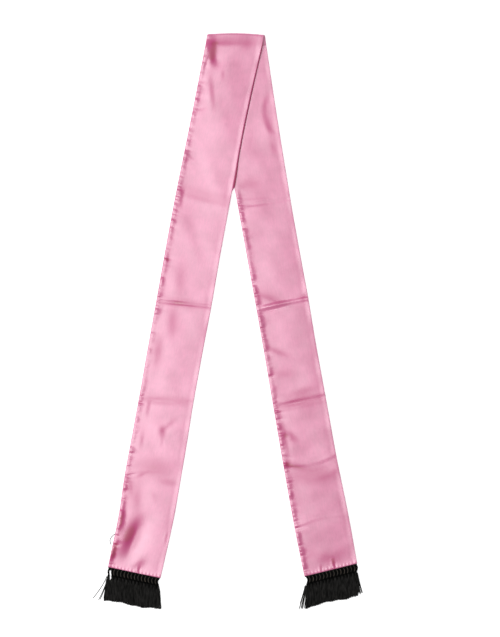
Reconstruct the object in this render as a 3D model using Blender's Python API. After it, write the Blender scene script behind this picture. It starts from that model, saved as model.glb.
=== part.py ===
"""Fringed silk scarf, folded once across its middle and laid down in an A.

The cloth is one flat tube, sewn up along its left edge, with a black knotted
fringe at each hem.  It is doubled over at the top: the over tail comes off the
fold on top of the under tail, and the two spread apart further down.  X is to
the right, +Y runs up to the fold and the scarf rests on z = 0.  The origin is
the bottom centre of its box.  The tail that holds the fold parts from the
other one underneath, just inside the fold.
"""

import math
from collections import namedtuple

import bmesh
import bpy
from mathutils import Vector

for item in list(bpy.data.objects):
    bpy.data.objects.remove(item, do_unlink=True)

MM = 0.001

# The cloth: two layers with a little air, as thick as a solid wall may be thin
CLOTH_WALL = 1.0 * MM
FLAT_THICKNESS = 2.5 * MM
EDGE_ROUND = 1.1 * MM
SEAM_GAP = 0.3 * MM

# The fold at the top: a soft loop, a little higher than the two flat tails
FOLD_RADIUS = 2.2 * MM
FOLD_SETTLES = 45.0 * MM
FOLD_ARCH = 2.4 * MM
FOLD_ARCH_FADES = 11.0 * MM
FOLD_LINE_Y = 469.9 * MM
FOLD_STEPS = 8
PARTING_DOWN = 12.0 * MM

# Where the over tail comes down off the under tail's left edge
DRAPE_LIFT = FLAT_THICKNESS + 0.4 * MM
DRAPE_CREST = -6.0 * MM
DRAPE_FOOT = -26.0 * MM
DRAPE_AIR = 1.0 * MM
CROTCH_DOWN = 260.0 * MM
UNCOVERED_FROM = 3.0 * MM
UNCOVERED_BY = 14.0 * MM

# Sections along each tail, in mm and degrees: how far the section's middle is
# down the tail from the fold and beside its straight line, its width square to
# the tail, its turn, the puff of its middle, and the rise of a pressed crease
Section = namedtuple("Section", "name down drift width turn puff rise")

OVER_SECTIONS = (
    Section("fold", 0.0, 0.0, 92.0, -9.9, 0.0, 0.0),
    Section("shoulder", 135.1, -2.9, 87.9, -3.2, 0.8, 0.0),
    Section("crease a", 272.5, -3.3, 90.5, 2.8, 0.7, 0.7),
    Section("panel ab", 363.8, -3.0, 90.6, -0.2, 1.7, 0.0),
    Section("crease b", 449.1, -1.9, 91.1, -6.8, 0.8, 1.3),
    Section("panel bc", 529.4, -1.6, 90.2, -7.1, 1.8, 0.0),
    Section("crease c", 613.8, -0.8, 89.8, -7.6, 0.8, 1.4),
    Section("panel cd", 679.4, 0.2, 91.4, -6.8, 1.7, 0.0),
    Section("crease d", 743.4, 0.9, 92.2, -6.0, 1.0, 0.8),
    Section("bend", 807.8, 2.5, 90.4, -4.4, 2.0, 0.0),
    Section("hem", 899.5, 0.0, 88.7, 1.2, 0.0, 0.0),
)

UNDER_SECTIONS = (
    Section("fold", 0.0, 0.0, 92.7, 10.8, 0.0, 0.0),
    Section("shoulder", 124.6, -2.1, 90.4, 10.5, 0.0, 0.0),
    Section("crease a", 274.6, -2.8, 87.5, 5.4, 0.5, 0.8),
    Section("panel ab", 358.7, -2.6, 87.0, 3.5, 1.6, 0.0),
    Section("crease b", 446.4, -2.2, 87.4, -1.5, 0.7, 1.6),
    Section("panel bc", 527.9, -2.5, 86.7, -0.9, 1.6, 0.0),
    Section("crease c", 610.3, -2.6, 87.9, -2.6, 0.7, 1.3),
    Section("panel cd", 661.4, -2.6, 88.4, -0.3, 1.3, 0.0),
    Section("crease d", 709.8, -2.6, 88.9, 2.0, 0.8, 1.1),
    Section("crease e", 815.6, -1.1, 91.2, -1.4, 1.2, 0.6),
    Section("hem", 893.3, 0.0, 89.4, -3.8, 0.0, 0.0),
)

# Long soft dents in the upper layer, in mm and degrees, with across as a share
# of the width from the left edge and turn measured from the tail's own line
Dent = namedtuple("Dent", "name down across length width depth turn")

OVER_DENTS = (
    Dent("long slant dent", 845.0, 0.26, 86.0, 20.0, 1.3, -17.0),
    Dent("slack below crease d", 768.0, 0.10, 60.0, 16.0, 0.6, 0.0),
    Dent("hollow at the hem", 880.0, 0.60, 26.0, 16.0, 0.5, 0.0),
)

UNDER_DENTS = (
    Dent("hollow above crease c", 584.0, 0.20, 50.0, 20.0, 0.8, 30.0),
    Dent("hollow at the hem", 868.0, 0.62, 28.0, 30.0, 0.6, 20.0),
)

Tail = namedtuple("Tail", "name fold_x splay sections dents is_over")

OVER_TAIL = Tail("over_tail", 11.3 * MM, math.radians(-10.7), OVER_SECTIONS, OVER_DENTS, True)
UNDER_TAIL = Tail("under_tail", 13.0 * MM, math.radians(10.03), UNDER_SECTIONS, UNDER_DENTS, False)

CREASE_HALF_WIDTH = 6.0 * MM
CREASE_STEPS = (-12.0 * MM, -5.0 * MM, 0.0, 5.0 * MM, 12.0 * MM)
STEP_ON_TAIL = 24.0 * MM
FOLD_DOWNS = (0.0, 6.0 * MM, 14.0 * MM, 24.0 * MM, 36.0 * MM)
ACROSS_TOP = (0.06, 0.17, 0.32, 0.50, 0.68, 0.83, 0.94)

# The fringe: a heading cord, knotted tassels hung from it by cords, and loose
# strands in an upper and a lower row below each knot
TASSELS = 15
STRANDS_EACH_ROW = 4
HEADING_WIDTH = 1.8 * MM
HEADING_LOW = 0.3 * MM
HEADING_HIGH = 2.3 * MM
HEADING_SHORT_OF_EDGE = 0.8 * MM
CORD_WIDTH = 3.0 * MM
KNOT_TOP = 10.5 * MM
KNOT_LENGTH = 4.5 * MM
KNOT_WIDTH = 4.5 * MM
KNOT_LOW = 0.25 * MM
KNOT_HIGH = 2.75 * MM
FRINGE_LENGTH = 52.0 * MM
STRAND_WIDTH = 0.85 * MM
STRAND_HEIGHT = 0.8 * MM
STRAND_TIP = 0.6
LOWER_ROW_Z = 0.25 * MM
UPPER_ROW_Z = 1.3 * MM
STRAND_RINGS = (2.5 * MM, 14.0 * MM, 26.0 * MM)
STRAND_SPREADS_BY = 18.0 * MM

# Strands that stray from a fringe's sides: counted in from the side, with the
# place where each leaves the others and how far out its tip lies, in mm
Stray = namedtuple("Stray", "place leaves_at reach longer")

# Leans are from straight down the frame, towards +X, in degrees
Fringe = namedtuple("Fringe", "name tail lean_left lean_right strays_left strays_right seed")

FRINGES = (
    Fringe("over_fringe", OVER_TAIL, -8.0, 4.0,
           (Stray(0, 14.0, 14.2, -0.5), Stray(1, 26.0, 5.2, -1.0)),
           (), 3),
    Fringe("under_fringe", UNDER_TAIL, -0.5, 1.5,
           (Stray(0, 14.0, 6.6, 1.0), Stray(1, 16.0, 3.2, 0.5)),
           (Stray(0, 11.0, 6.4, 1.5), Stray(1, 20.0, 3.2, 1.0)), 8),
)

CLOTH_COLOUR = (0.847, 0.418, 0.552, 1.0)
FRINGE_COLOUR = (0.012, 0.011, 0.010, 1.0)


def smooth(t):
    """Soft step from 0 to 1."""
    t = min(max(t, 0.0), 1.0)
    return t * t * (3.0 - 2.0 * t)


def section_value(sections, down, column):
    """A column's value at a distance down the tail, along a smooth curve."""
    downs = [row.down * MM for row in sections]
    values = [getattr(row, column) for row in sections]
    last = len(downs) - 1
    down = min(max(down, downs[0]), downs[last])
    i = max(k for k in range(last) if downs[k] <= down)
    span = downs[i + 1] - downs[i]
    t = (down - downs[i]) / span

    def slope(k):
        before, after = max(k - 1, 0), min(k + 1, last)
        return (values[after] - values[before]) / (downs[after] - downs[before])

    rest = 1.0 - t
    return (values[i] * (1.0 + 2.0 * t) * rest * rest
            + slope(i) * span * t * rest * rest
            + values[i + 1] * t * t * (3.0 - 2.0 * t)
            - slope(i + 1) * span * t * t * rest)


def tail_axes(tail):
    """Unit vectors down the tail and to its right, in plan."""
    down_line = Vector((math.sin(tail.splay), -math.cos(tail.splay), 0.0))
    right = Vector((math.cos(tail.splay), math.sin(tail.splay), 0.0))
    return down_line, right


def plan_point(tail, down, across):
    """Point on the floor below a tail, with across from 0 at the left edge to 1."""
    down_line, right = tail_axes(tail)
    drift = section_value(tail.sections, down, "drift") * MM
    width = section_value(tail.sections, down, "width") * MM
    turn = math.radians(section_value(tail.sections, down, "turn"))
    middle = Vector((tail.fold_x, FOLD_LINE_Y, 0.0)) + down_line * down + right * drift
    point = middle + (right + down_line * math.tan(turn)) * width * (across - 0.5)
    arch = FOLD_ARCH * (1.0 - (2.0 * across - 1.0) ** 2)
    return point - down_line * arch * (1.0 - smooth(down / FOLD_ARCH_FADES))


def tail_width(tail, down):
    """Length of a section between the tail's edges."""
    return (plan_point(tail, down, 1.0) - plan_point(tail, down, 0.0)).length


def past_edge(point, tail, across):
    """Distance of a plan point to the right of a tail's edge, above the crotch."""
    top = plan_point(tail, 0.0, across)
    low = plan_point(tail, CROTCH_DOWN, across)
    line = (low - top).normalized()
    return (point - top).dot(Vector((-line.y, line.x, 0.0)))


def past_under_edge(point):
    """Distance of a plan point to the right of the under tail's left edge."""
    return past_edge(point, UNDER_TAIL, 0.0)


def uncovered(point):
    """Share of its puff that the under tail has where the over tail leaves it free."""
    return smooth((past_edge(point, OVER_TAIL, 1.0) - UNCOVERED_FROM) / UNCOVERED_BY)


def drape(point):
    """Share of the full lift where the over tail lies on the under tail."""
    return smooth((past_under_edge(point) - DRAPE_FOOT) / (DRAPE_CREST - DRAPE_FOOT))


def dent_depth(tail, down, across):
    """How far the upper layer sinks in the tail's dents."""
    depth = 0.0
    width = tail_width(tail, down)
    for dent in tail.dents:
        along = down - dent.down * MM
        beside = (across - dent.across) * width
        turn = math.radians(dent.turn)
        on_line = along * math.cos(turn) + beside * math.sin(turn)
        off_line = beside * math.cos(turn) - along * math.sin(turn)
        reach = (2.0 * on_line / (dent.length * MM)) ** 2 + (2.0 * off_line / (dent.width * MM)) ** 2
        depth += dent.depth * MM * math.exp(-1.2 * reach)
    return depth


def thickness(tail, down, across):
    """Height of the upper layer over the underside."""
    inside = max(4.0 * across * (1.0 - across), 0.0)
    puff = section_value(tail.sections, down, "puff") * MM * inside ** 0.6
    ridge = 0.0
    for row in tail.sections:
        off = (down - row.down * MM) / CREASE_HALF_WIDTH
        ridge += row.rise * MM * math.exp(-off * off)
    bulge = max(puff, 0.0) + ridge * inside ** 0.4 - dent_depth(tail, down, across)
    point = plan_point(tail, down, across)
    if not tail.is_over:
        return FLAT_THICKNESS + max(bulge, 0.0) * uncovered(point)
    lift = drape(point)
    air = DRAPE_AIR * 4.0 * lift * (1.0 - lift) * inside ** 0.3
    return FLAT_THICKNESS + max(bulge, 0.0) + air


def on_tail(tail, down, across):
    """Underside point, direction up through the cloth, and thickness on a tail."""
    point = plan_point(tail, down, across)
    if tail.is_over:
        from_fold = (2.0 * FOLD_RADIUS - DRAPE_LIFT) * (1.0 - smooth(down / FOLD_SETTLES))
        point.z = DRAPE_LIFT * drape(point) + max(from_fold, 0.0)
    return point, Vector((0.0, 0.0, 1.0)), thickness(tail, down, across)


def on_fold(angle, across):
    """The same three values round the fold, from 0 on top to pi beneath."""
    share = angle / math.pi
    top = plan_point(OVER_TAIL, 0.0, across)
    low = plan_point(UNDER_TAIL, 0.0, across)
    out = Vector((0.0, math.sin(angle), math.cos(angle)))
    axis = top.lerp(low, share)
    axis.z = FLAT_THICKNESS / 2.0 + FOLD_RADIUS
    inner = axis + out * (FOLD_RADIUS - FLAT_THICKNESS / 2.0)
    return inner, out, FLAT_THICKNESS


def on_return(down, across):
    """The same three values beneath the fold, where the tube lies face down."""
    point = plan_point(UNDER_TAIL, down, across)
    point.z = FLAT_THICKNESS
    return point, Vector((0.0, 0.0, -1.0)), FLAT_THICKNESS


def drape_shares(tail, down):
    """Where a section of the over tail meets the foot and the crest of the drape."""
    left = past_under_edge(plan_point(tail, down, 0.0))
    right = past_under_edge(plan_point(tail, down, 1.0))
    foot = (DRAPE_FOOT - left) / (right - left)
    crest = (DRAPE_CREST - left) / (right - left)
    return min(max(foot, 0.03), 0.93), min(max(crest, 0.05), 0.96)


def ring(place, width, under_shares):
    """Outer then inner outline of the flat tube at one section."""
    outer, inner = [], []
    for outline, inset, corner, wall in (
            (outer, 0.0, EDGE_ROUND, 0.0),
            (inner, CLOTH_WALL, CLOTH_WALL + 0.7 * MM, CLOTH_WALL)):
        def through(share, level):
            low, up, thick = place(share)
            return low + up * (wall + (thick - 2.0 * wall) * level)

        first, last = inset / width, 1.0 - inset / width
        near, far = corner / width, 1.0 - corner / width
        outline.append(through(first, 0.5))
        outline.extend(through(share, 1.0) for share in (near, *ACROSS_TOP, far))
        outline.append(through(last, 0.5))
        outline.extend(through(share, 0.0) for share in (far, *under_shares, near))
    return outer + inner


def extrude(mesh, faces, keep):
    """Extrudes faces and takes away the old ones, unless they close the start."""
    grown = bmesh.ops.extrude_face_region(mesh, geom=faces)["geom"]
    if not keep:
        bmesh.ops.delete(mesh, geom=faces, context="FACES_ONLY")
    return grown


def loft(name, rings, colour, roughness):
    """One closed body with a wall, drawn through rings of outer and inner points."""
    mesh = bmesh.new()
    place = mesh.verts.layers.int.new("place")
    count = len(rings[0]) // 2
    points = [mesh.verts.new(point) for point in rings[0]]
    for number, vert in enumerate(points):
        vert[place] = number
    faces = []
    for i in range(count):
        j = (i + 1) % count
        faces.append(mesh.faces.new((points[i], points[j], points[count + j], points[count + i])))
    for number, outline in enumerate(rings[1:]):
        grown = extrude(mesh, faces, keep=number == 0)
        faces = [item for item in grown if isinstance(item, bmesh.types.BMFace)]
        for item in grown:
            if isinstance(item, bmesh.types.BMVert):
                item.co = outline[item[place]]
    bmesh.ops.recalc_face_normals(mesh, faces=mesh.faces)
    return finish(mesh, name, colour, roughness)


def finish(mesh, name, colour, roughness):
    """Turns a bmesh into a named object with its own plain material."""
    data = bpy.data.meshes.new(name)
    mesh.to_mesh(data)
    mesh.free()
    data.shade_smooth()
    data.set_sharp_from_angle(angle=math.radians(40.0))
    material = bpy.data.materials.new(name)
    material.use_nodes = True
    shader = material.node_tree.nodes["Principled BSDF"]
    shader.inputs["Base Color"].default_value = colour
    shader.inputs["Roughness"].default_value = roughness
    shader.inputs["Metallic"].default_value = 0.0
    data.materials.append(material)
    piece = bpy.data.objects.new(name, data)
    bpy.context.scene.collection.objects.link(piece)
    return piece


def stations(tail, start):
    """Distances down a tail for its sections, close together at the creases."""
    end = tail.sections[-1].down * MM
    kept = {start, end, end - 5.0 * MM, end - 14.0 * MM}
    for row in tail.sections:
        if row.rise > 0.0:
            kept.update(row.down * MM + step for step in CREASE_STEPS)
    if start == 0.0:
        kept.update(FOLD_DOWNS)
    ordered = sorted(kept)
    result = [ordered[0]]
    for down in ordered[1:]:
        steps = max(1, math.ceil((down - result[-1]) / STEP_ON_TAIL))
        first = result[-1]
        result.extend(first + (down - first) * k / steps for k in range(1, steps + 1))
    return result


def make_over_tail():
    """The tail on top, with the fold and a short return beneath it."""
    tail = OVER_TAIL
    rings = []
    for down in reversed(stations(tail, 0.0)):
        rings.append(ring(lambda share: on_tail(tail, down, share),
                          tail_width(tail, down), drape_shares(tail, down)[::-1]))
    shares = drape_shares(tail, 0.0)[::-1]
    for step in range(1, FOLD_STEPS + 1):
        angle = math.pi * step / FOLD_STEPS
        rings.append(ring(lambda share: on_fold(angle, share), tail_width(tail, 0.0), shares))
    for down in (PARTING_DOWN / 2.0, PARTING_DOWN):
        rings.append(ring(lambda share: on_return(down, share), tail_width(UNDER_TAIL, down), shares))
    return loft(tail.name, rings, CLOTH_COLOUR, 0.35)


def make_under_tail():
    """The tail that lies flat on the floor all the way."""
    tail = UNDER_TAIL
    rings = []
    for down in stations(tail, PARTING_DOWN + SEAM_GAP):
        rings.append(ring(lambda share: on_tail(tail, down, share), tail_width(tail, down), ()))
    return loft(tail.name, rings, CLOTH_COLOUR, 0.35)


def uneven(number, seed):
    """A repeatable value between -1 and 1 for one strand."""
    return math.sin(number * 12.9898 + seed * 78.233) * math.cos(number * 4.1414 + seed)


def fringe_frame(fringe):
    """Left end, line along the heading, line away from the hem, and length."""
    tail = fringe.tail
    end = tail.sections[-1].down * MM
    left, right = plan_point(tail, end, 0.0), plan_point(tail, end, 1.0)
    along = (right - left).normalized()
    away = Vector((along.y, -along.x, 0.0))
    start = left + along * HEADING_SHORT_OF_EDGE + away * SEAM_GAP
    return start, along, away, (right - left).length - 2.0 * HEADING_SHORT_OF_EDGE


def fall(fringe, share, reach):
    """Plan point of the fringe at a share of its width and a way from the hem."""
    start, along, away, length = fringe_frame(fringe)
    lean = math.radians(fringe.lean_left + (fringe.lean_right - fringe.lean_left) * share)
    hang = Vector((math.sin(lean), -math.cos(lean), 0.0))
    turned = smooth(reach / (KNOT_TOP + KNOT_LENGTH))
    straight = away * reach
    leaning = away * 0.5 * KNOT_TOP + hang * max(reach - 0.5 * KNOT_TOP, 0.0)
    return start + along * length * share + straight.lerp(leaning, turned)


def set_ring(verts, corners):
    """Moves the corners of a grown face, each told by its number."""
    for vert, corner in zip(verts, corners):
        vert.co = corner


def box_corners(fringe, share, half_share, reach, low, high):
    """Four corners across a cord or a knot: low left, low right, high right, high left."""
    left = fall(fringe, share - half_share, reach)
    right = fall(fringe, share + half_share, reach)
    return [left + Vector((0, 0, low)), right + Vector((0, 0, low)),
            right + Vector((0, 0, high)), left + Vector((0, 0, high))]


def grow(mesh, verts, corners, keep=False):
    """Extrudes the face on these corners to new corners, in the same order."""
    face = next(f for f in verts[0].link_faces if set(f.verts) == set(verts))
    role = mesh.verts.layers.int["role"]
    for number, vert in enumerate(verts):
        vert[role] = number
    grown = extrude(mesh, [face], keep)
    fresh = sorted((v for v in grown if isinstance(v, bmesh.types.BMVert)), key=lambda v: v[role])
    set_ring(fresh, corners)
    return fresh


def split_edge(first, second, parts):
    """Corners along an edge that is cut into equal parts, both ends included."""
    start, end = first.co.copy(), second.co.copy()
    chain = [first]
    for k in range(1, parts):
        edge = next(e for e in chain[-1].link_edges if e.other_vert(chain[-1]) is second)
        _, vert = bmesh.utils.edge_split(edge, chain[-1], 0.5)
        vert.co = start.lerp(end, k / parts)
        chain.append(vert)
    return chain + [second]


def strand_place(fringe, tassel, number, is_upper, reach):
    """Share of the width where a strand is, gathered at its knot and even below."""
    knot_share = (tassel + 0.5) / TASSELS
    even = (tassel + (number + (0.75 if is_upper else 0.25)) / STRANDS_EACH_ROW) / TASSELS
    gathered = KNOT_WIDTH * TASSELS / fringe_frame(fringe)[3]
    knot_end = KNOT_TOP + KNOT_LENGTH
    opened = gathered + (1.0 - gathered) * smooth((reach - knot_end) / STRAND_SPREADS_BY)
    return knot_share + (even - knot_share) * opened


def stray_of(fringe, order, total):
    """The stray row that a strand follows and its side, -1 left or 1 right."""
    for side, strays in ((-1, fringe.strays_left), (1, fringe.strays_right)):
        from_side = order if side < 0 else total - 1 - order
        for stray in strays:
            if stray.place == from_side:
                return stray, side
    return None, 0


def grow_strand(mesh, fringe, verts, tassel, number, is_upper):
    """Grows one three-sided strand from its triangle at the end of a knot."""
    _, along, _, _ = fringe_frame(fringe)
    total = 2 * STRANDS_EACH_ROW * TASSELS
    order = 2 * (tassel * STRANDS_EACH_ROW + number) + (1 if is_upper else 0)
    stray, side = stray_of(fringe, order, total)
    knot_end = KNOT_TOP + KNOT_LENGTH
    tip = FRINGE_LENGTH + uneven(order, fringe.seed) * 1.3 * MM
    tip += 0.9 * MM * math.sin(order * 0.21 + fringe.seed)
    if stray:
        tip += stray.longer * MM
    reaches = [knot_end + ring_at for ring_at in STRAND_RINGS] + [tip]
    for step, reach in enumerate(reaches):
        share = strand_place(fringe, tassel, number, is_upper, reach)
        middle = fall(fringe, share, reach)
        sway = 0.22 * MM * uneven(order + 40 * step, fringe.seed)
        if step == 0:
            sway = 0.0
        if stray:
            gone = max(reach - stray.leaves_at * MM, 0.0) / (tip - stray.leaves_at * MM)
            sway = side * stray.reach * MM * gone ** 1.3
        middle += along * sway
        size = STRAND_TIP if step == len(reaches) - 1 else 1.0
        half = along * STRAND_WIDTH * size / 2.0
        height = STRAND_HEIGHT * size
        if is_upper:
            base = UPPER_ROW_Z + height
            peak = UPPER_ROW_Z
        else:
            base = LOWER_ROW_Z
            peak = LOWER_ROW_Z + height
        corners = [middle - half + Vector((0, 0, base)), middle + half + Vector((0, 0, base)),
                   middle + Vector((0, 0, peak))]
        verts = grow(mesh, verts, corners)


def grow_tassel(mesh, fringe, verts, tassel):
    """Grows a cord, its knot and the strands from one face of the heading."""
    length = fringe_frame(fringe)[3]
    share = (tassel + 0.5) / TASSELS
    cord, knot = 0.5 * CORD_WIDTH / length, 0.5 * KNOT_WIDTH / length
    low, high = HEADING_LOW, HEADING_HIGH
    for reach, half, bottom, top in (
            (HEADING_WIDTH + 4.0 * MM, 0.85 * cord, low, high - 0.2 * MM),
            (KNOT_TOP - 0.8 * MM, 0.85 * cord, low, high - 0.2 * MM),
            (KNOT_TOP + 0.4 * MM, 0.94 * knot, KNOT_LOW, KNOT_HIGH),
            (KNOT_TOP + KNOT_LENGTH - 1.0 * MM, knot, KNOT_LOW, KNOT_HIGH),
            (KNOT_TOP + KNOT_LENGTH, 0.94 * knot, KNOT_LOW, KNOT_HIGH - 0.4 * MM)):
        verts = grow(mesh, verts, box_corners(fringe, share, half, reach, bottom, top))
    face = next(f for f in verts[0].link_faces if set(f.verts) == set(verts))
    low_chain = split_edge(verts[0], verts[1], STRANDS_EACH_ROW)
    high_chain = split_edge(verts[3], verts[2], STRANDS_EACH_ROW)
    bmesh.ops.delete(mesh, geom=[face], context="FACES_ONLY")
    roots = []
    for k in range(STRANDS_EACH_ROW):
        lower = (low_chain[k], low_chain[k + 1], high_chain[k])
        upper = (high_chain[k], high_chain[k + 1], low_chain[k + 1])
        mesh.faces.new(lower)
        mesh.faces.new((upper[1], upper[0], upper[2]))
        roots.append((lower, k, False))
        roots.append((upper, k, True))
    for triangle, number, is_upper in roots:
        grow_strand(mesh, fringe, list(triangle), tassel, number, is_upper)


def make_fringe(fringe):
    """One closed body: the heading with every tassel grown out of it."""
    mesh = bmesh.new()
    mesh.verts.layers.int.new("role")
    start, along, away, length = fringe_frame(fringe)
    pitch = length / TASSELS
    edges = [0.0]
    for tassel in range(TASSELS):
        middle = (tassel + 0.5) * pitch
        edges.extend((middle - CORD_WIDTH / 2.0, middle + CORD_WIDTH / 2.0))
    edges.append(length)

    def heading_ring(distance):
        near = start + along * distance
        far = near + away * HEADING_WIDTH
        return [near + Vector((0, 0, HEADING_LOW)), far + Vector((0, 0, HEADING_LOW)),
                far + Vector((0, 0, HEADING_HIGH)), near + Vector((0, 0, HEADING_HIGH))]

    verts = [mesh.verts.new(corner) for corner in heading_ring(edges[0])]
    mesh.faces.new(verts)
    roots = []
    for number, distance in enumerate(edges[1:]):
        fresh = grow(mesh, verts, heading_ring(distance), keep=number == 0)
        if number % 2 == 1:
            roots.append([verts[1], fresh[1], fresh[2], verts[2]])
        verts = fresh
    for tassel, corners in enumerate(roots):
        grow_tassel(mesh, fringe, corners, tassel)
    bmesh.ops.recalc_face_normals(mesh, faces=mesh.faces)
    return finish(mesh, fringe.name, FRINGE_COLOUR, 0.6)


make_over_tail()
make_under_tail()
for fringe_row in FRINGES:
    make_fringe(fringe_row)
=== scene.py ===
import math
from collections import namedtuple

import bmesh
import bpy
import numpy as np
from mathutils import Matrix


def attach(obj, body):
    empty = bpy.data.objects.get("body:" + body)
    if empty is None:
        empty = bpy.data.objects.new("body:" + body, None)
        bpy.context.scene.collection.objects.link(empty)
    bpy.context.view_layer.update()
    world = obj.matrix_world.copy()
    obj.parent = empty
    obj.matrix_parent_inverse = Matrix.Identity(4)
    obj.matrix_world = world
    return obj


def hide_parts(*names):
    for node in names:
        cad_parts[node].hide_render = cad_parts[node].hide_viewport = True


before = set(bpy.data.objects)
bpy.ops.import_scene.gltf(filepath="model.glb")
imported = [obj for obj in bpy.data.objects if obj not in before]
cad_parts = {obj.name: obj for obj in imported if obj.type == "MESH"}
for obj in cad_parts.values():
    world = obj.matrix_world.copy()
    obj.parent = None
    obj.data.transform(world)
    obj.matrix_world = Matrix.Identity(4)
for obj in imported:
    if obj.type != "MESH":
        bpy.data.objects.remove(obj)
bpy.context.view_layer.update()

# The silk. Plain warp-faced satin: the long floats of the warp run down the scarf,
# so it shines in a broad band across them, bright where it leans to the light and
# deep rose where it leans away. It is woven, dyed in the piece and pressed.

MM = 0.001
# The silk's colour, painted a little deeper and lighter in clouds for its uneven sheen
SILK_LIGHT = "D1759B"
SILK_DEEP = "C0668B"
CLOUD_SIZE = 34.0 * MM
# Painted shade: where the silk hangs slack and turns from the light its colour is mixed
# towards a duller one, and in the deepest places, where it faces itself, towards a redder one
SILK_PAINTED_SHADE = "B12A6C"
SILK_SHADED = "A93A60"
SHADED_FROM = 0.87
# A real float is 0.1 mm wide and about 1 mm long; they are drawn this coarse to show at all
FLOAT_WIDTH = 2.0 * MM
FLOAT_LENGTH = 15.0 * MM
SILK_IOR = 1.57
SILK_GLOSS = 0.95


def linear(hex_colour):
    """An sRGB hex colour as linear red, green, blue and alpha."""
    parts = [int(hex_colour[k:k + 2], 16) / 255.0 for k in (0, 2, 4)]
    return [p / 12.92 if p <= 0.04045 else ((p + 0.055) / 1.055) ** 2.4 for p in parts] + [1.0]


def fill(node, inputs):
    """Fills a node's inputs by values or by other nodes' outputs."""
    for name, value in inputs.items():
        if isinstance(value, bpy.types.NodeSocket):
            node.id_data.links.new(value, node.inputs[name])
        else:
            node.inputs[name].default_value = value


def add_node(tree, kind, inputs, **settings):
    """Adds a node with its settings and its inputs filled."""
    made = tree.nodes.new(kind)
    for name, value in settings.items():
        setattr(made, name, value)
    fill(made, inputs)
    return made


silk = bpy.data.materials.new("silk_satin_warp_faced")
silk.use_nodes = True
tree = silk.node_tree
uv = add_node(tree, "ShaderNodeUVMap", {}, uv_map="UVMap")
floats_at = add_node(tree, "ShaderNodeMapping", {
    "Vector": uv.outputs["UV"],
    "Scale": (1.0 / FLOAT_WIDTH, 1.0 / FLOAT_LENGTH, 1.0)})
floats = add_node(tree, "ShaderNodeTexNoise", {
    "Vector": floats_at.outputs["Vector"], "Scale": 1.0, "Detail": 2.0, "Roughness": 0.6})
clouds = add_node(tree, "ShaderNodeTexNoise", {
    "Vector": uv.outputs["UV"], "Scale": 1.0 / CLOUD_SIZE, "Detail": 4.0, "Roughness": 0.6})
cloud_share = add_node(tree, "ShaderNodeMapRange", {
    "Value": clouds.outputs["Fac"], "From Min": 0.35, "From Max": 0.65, "To Min": 0.05, "To Max": 0.95})
float_share = add_node(tree, "ShaderNodeMapRange", {
    "Value": floats.outputs["Fac"], "From Min": 0.3, "From Max": 0.7, "To Min": 0.93, "To Max": 1.04})
# Painted clouds of uneven sheen, between the deeper and the lighter colour
dye_and_sheen = add_node(tree, "ShaderNodeValToRGB", {"Fac": cloud_share.outputs["Result"]})
dye_and_sheen.color_ramp.elements[0].color = linear(SILK_DEEP)
dye_and_sheen.color_ramp.elements[1].color = linear(SILK_LIGHT)
woven = add_node(tree, "ShaderNodeVectorMath", {
    0: dye_and_sheen.outputs["Color"], 1: (1.0, 1.0, 1.0), "Scale": float_share.outputs["Result"]},
    operation="SCALE")
# Painted shade, read from each tube's "shade" attribute: the colour is mixed towards a duller one, and in
# the deepest places towards a redder one
painted_shade = add_node(tree, "ShaderNodeAttribute", {}, attribute_name="shade")
painted_shade_mix = add_node(tree, "ShaderNodeMixRGB", {
    "Fac": painted_shade.outputs["Fac"], "Color1": woven.outputs["Vector"], "Color2": linear(SILK_PAINTED_SHADE)})
deepest = add_node(tree, "ShaderNodeMapRange", {
    "Value": painted_shade.outputs["Fac"], "From Min": SHADED_FROM})
shaded = add_node(tree, "ShaderNodeMixRGB", {
    "Fac": deepest.outputs["Result"], "Color1": painted_shade_mix.outputs["Color"], "Color2": linear(SILK_SHADED)})
tangent = add_node(tree, "ShaderNodeTangent", {}, direction_type="UV_MAP", uv_map="UVMap")
grain = add_node(tree, "ShaderNodeBump", {
    "Height": floats.outputs["Fac"], "Strength": 0.12, "Distance": 0.2 * MM})
fill(tree.nodes["Principled BSDF"], {
    "Base Color": shaded.outputs["Color"], "Normal": grain.outputs["Normal"],
    "Tangent": tangent.outputs["Tangent"], "Roughness": 0.31, "IOR": SILK_IOR,
    "Specular IOR Level": SILK_GLOSS, "Anisotropic": 0.5, "Sheen Weight": 0.1,
    "Sheen Roughness": 0.4})

# The under tail, the half of the flat tube that lies on the surface. The tube is one
# strip of the silk, folded lengthwise, sewn up along the left edge and turned out, so
# that edge puckers along its seam and the right one is a soft, springy fold.

# How the tail lies, in mm and degrees: where it meets the line of the fold, how far it
# turns from straight down, and its sections. Each has its distance down from the fold,
# its drift beside the straight line, its width, its turn, and how far its middle puffs up
Lay = namedtuple("Lay", "fold_x splay sections")
Section = namedtuple("Section", "name down drift width turn puff")

UNDER_LAY = Lay(13.0, math.radians(10.03), (
    Section("fold", 0.0, 0.0, 92.7, 10.8, 0.0),
    Section("shoulder", 124.6, -2.1, 90.4, 10.5, 0.0),
    Section("crease a", 274.6, -2.8, 87.5, 5.4, 0.5),
    Section("panel ab", 358.7, -2.6, 87.0, 3.5, 1.3),
    Section("crease b", 446.4, -2.2, 87.4, -1.5, 0.7),
    Section("panel bc", 527.9, -2.5, 86.7, -0.9, 1.3),
    Section("crease c", 610.3, -2.6, 87.9, -2.6, 0.7),
    Section("panel cd", 661.4, -2.6, 88.4, -0.3, 1.1),
    Section("crease d", 709.8, -2.6, 88.9, 2.0, 0.8),
    Section("crease e", 815.6, -1.1, 91.2, -1.4, 1.1),
    Section("hem", 893.3, 0.0, 89.4, -3.8, 0.0),
))

# Pressed creases that cross the tail: where each meets the left edge, the middle and
# the right edge, its fall from ridge to trough, half its width, and its added ridge
Crease = namedtuple("Crease", "name left middle right fall half ridge")

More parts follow.
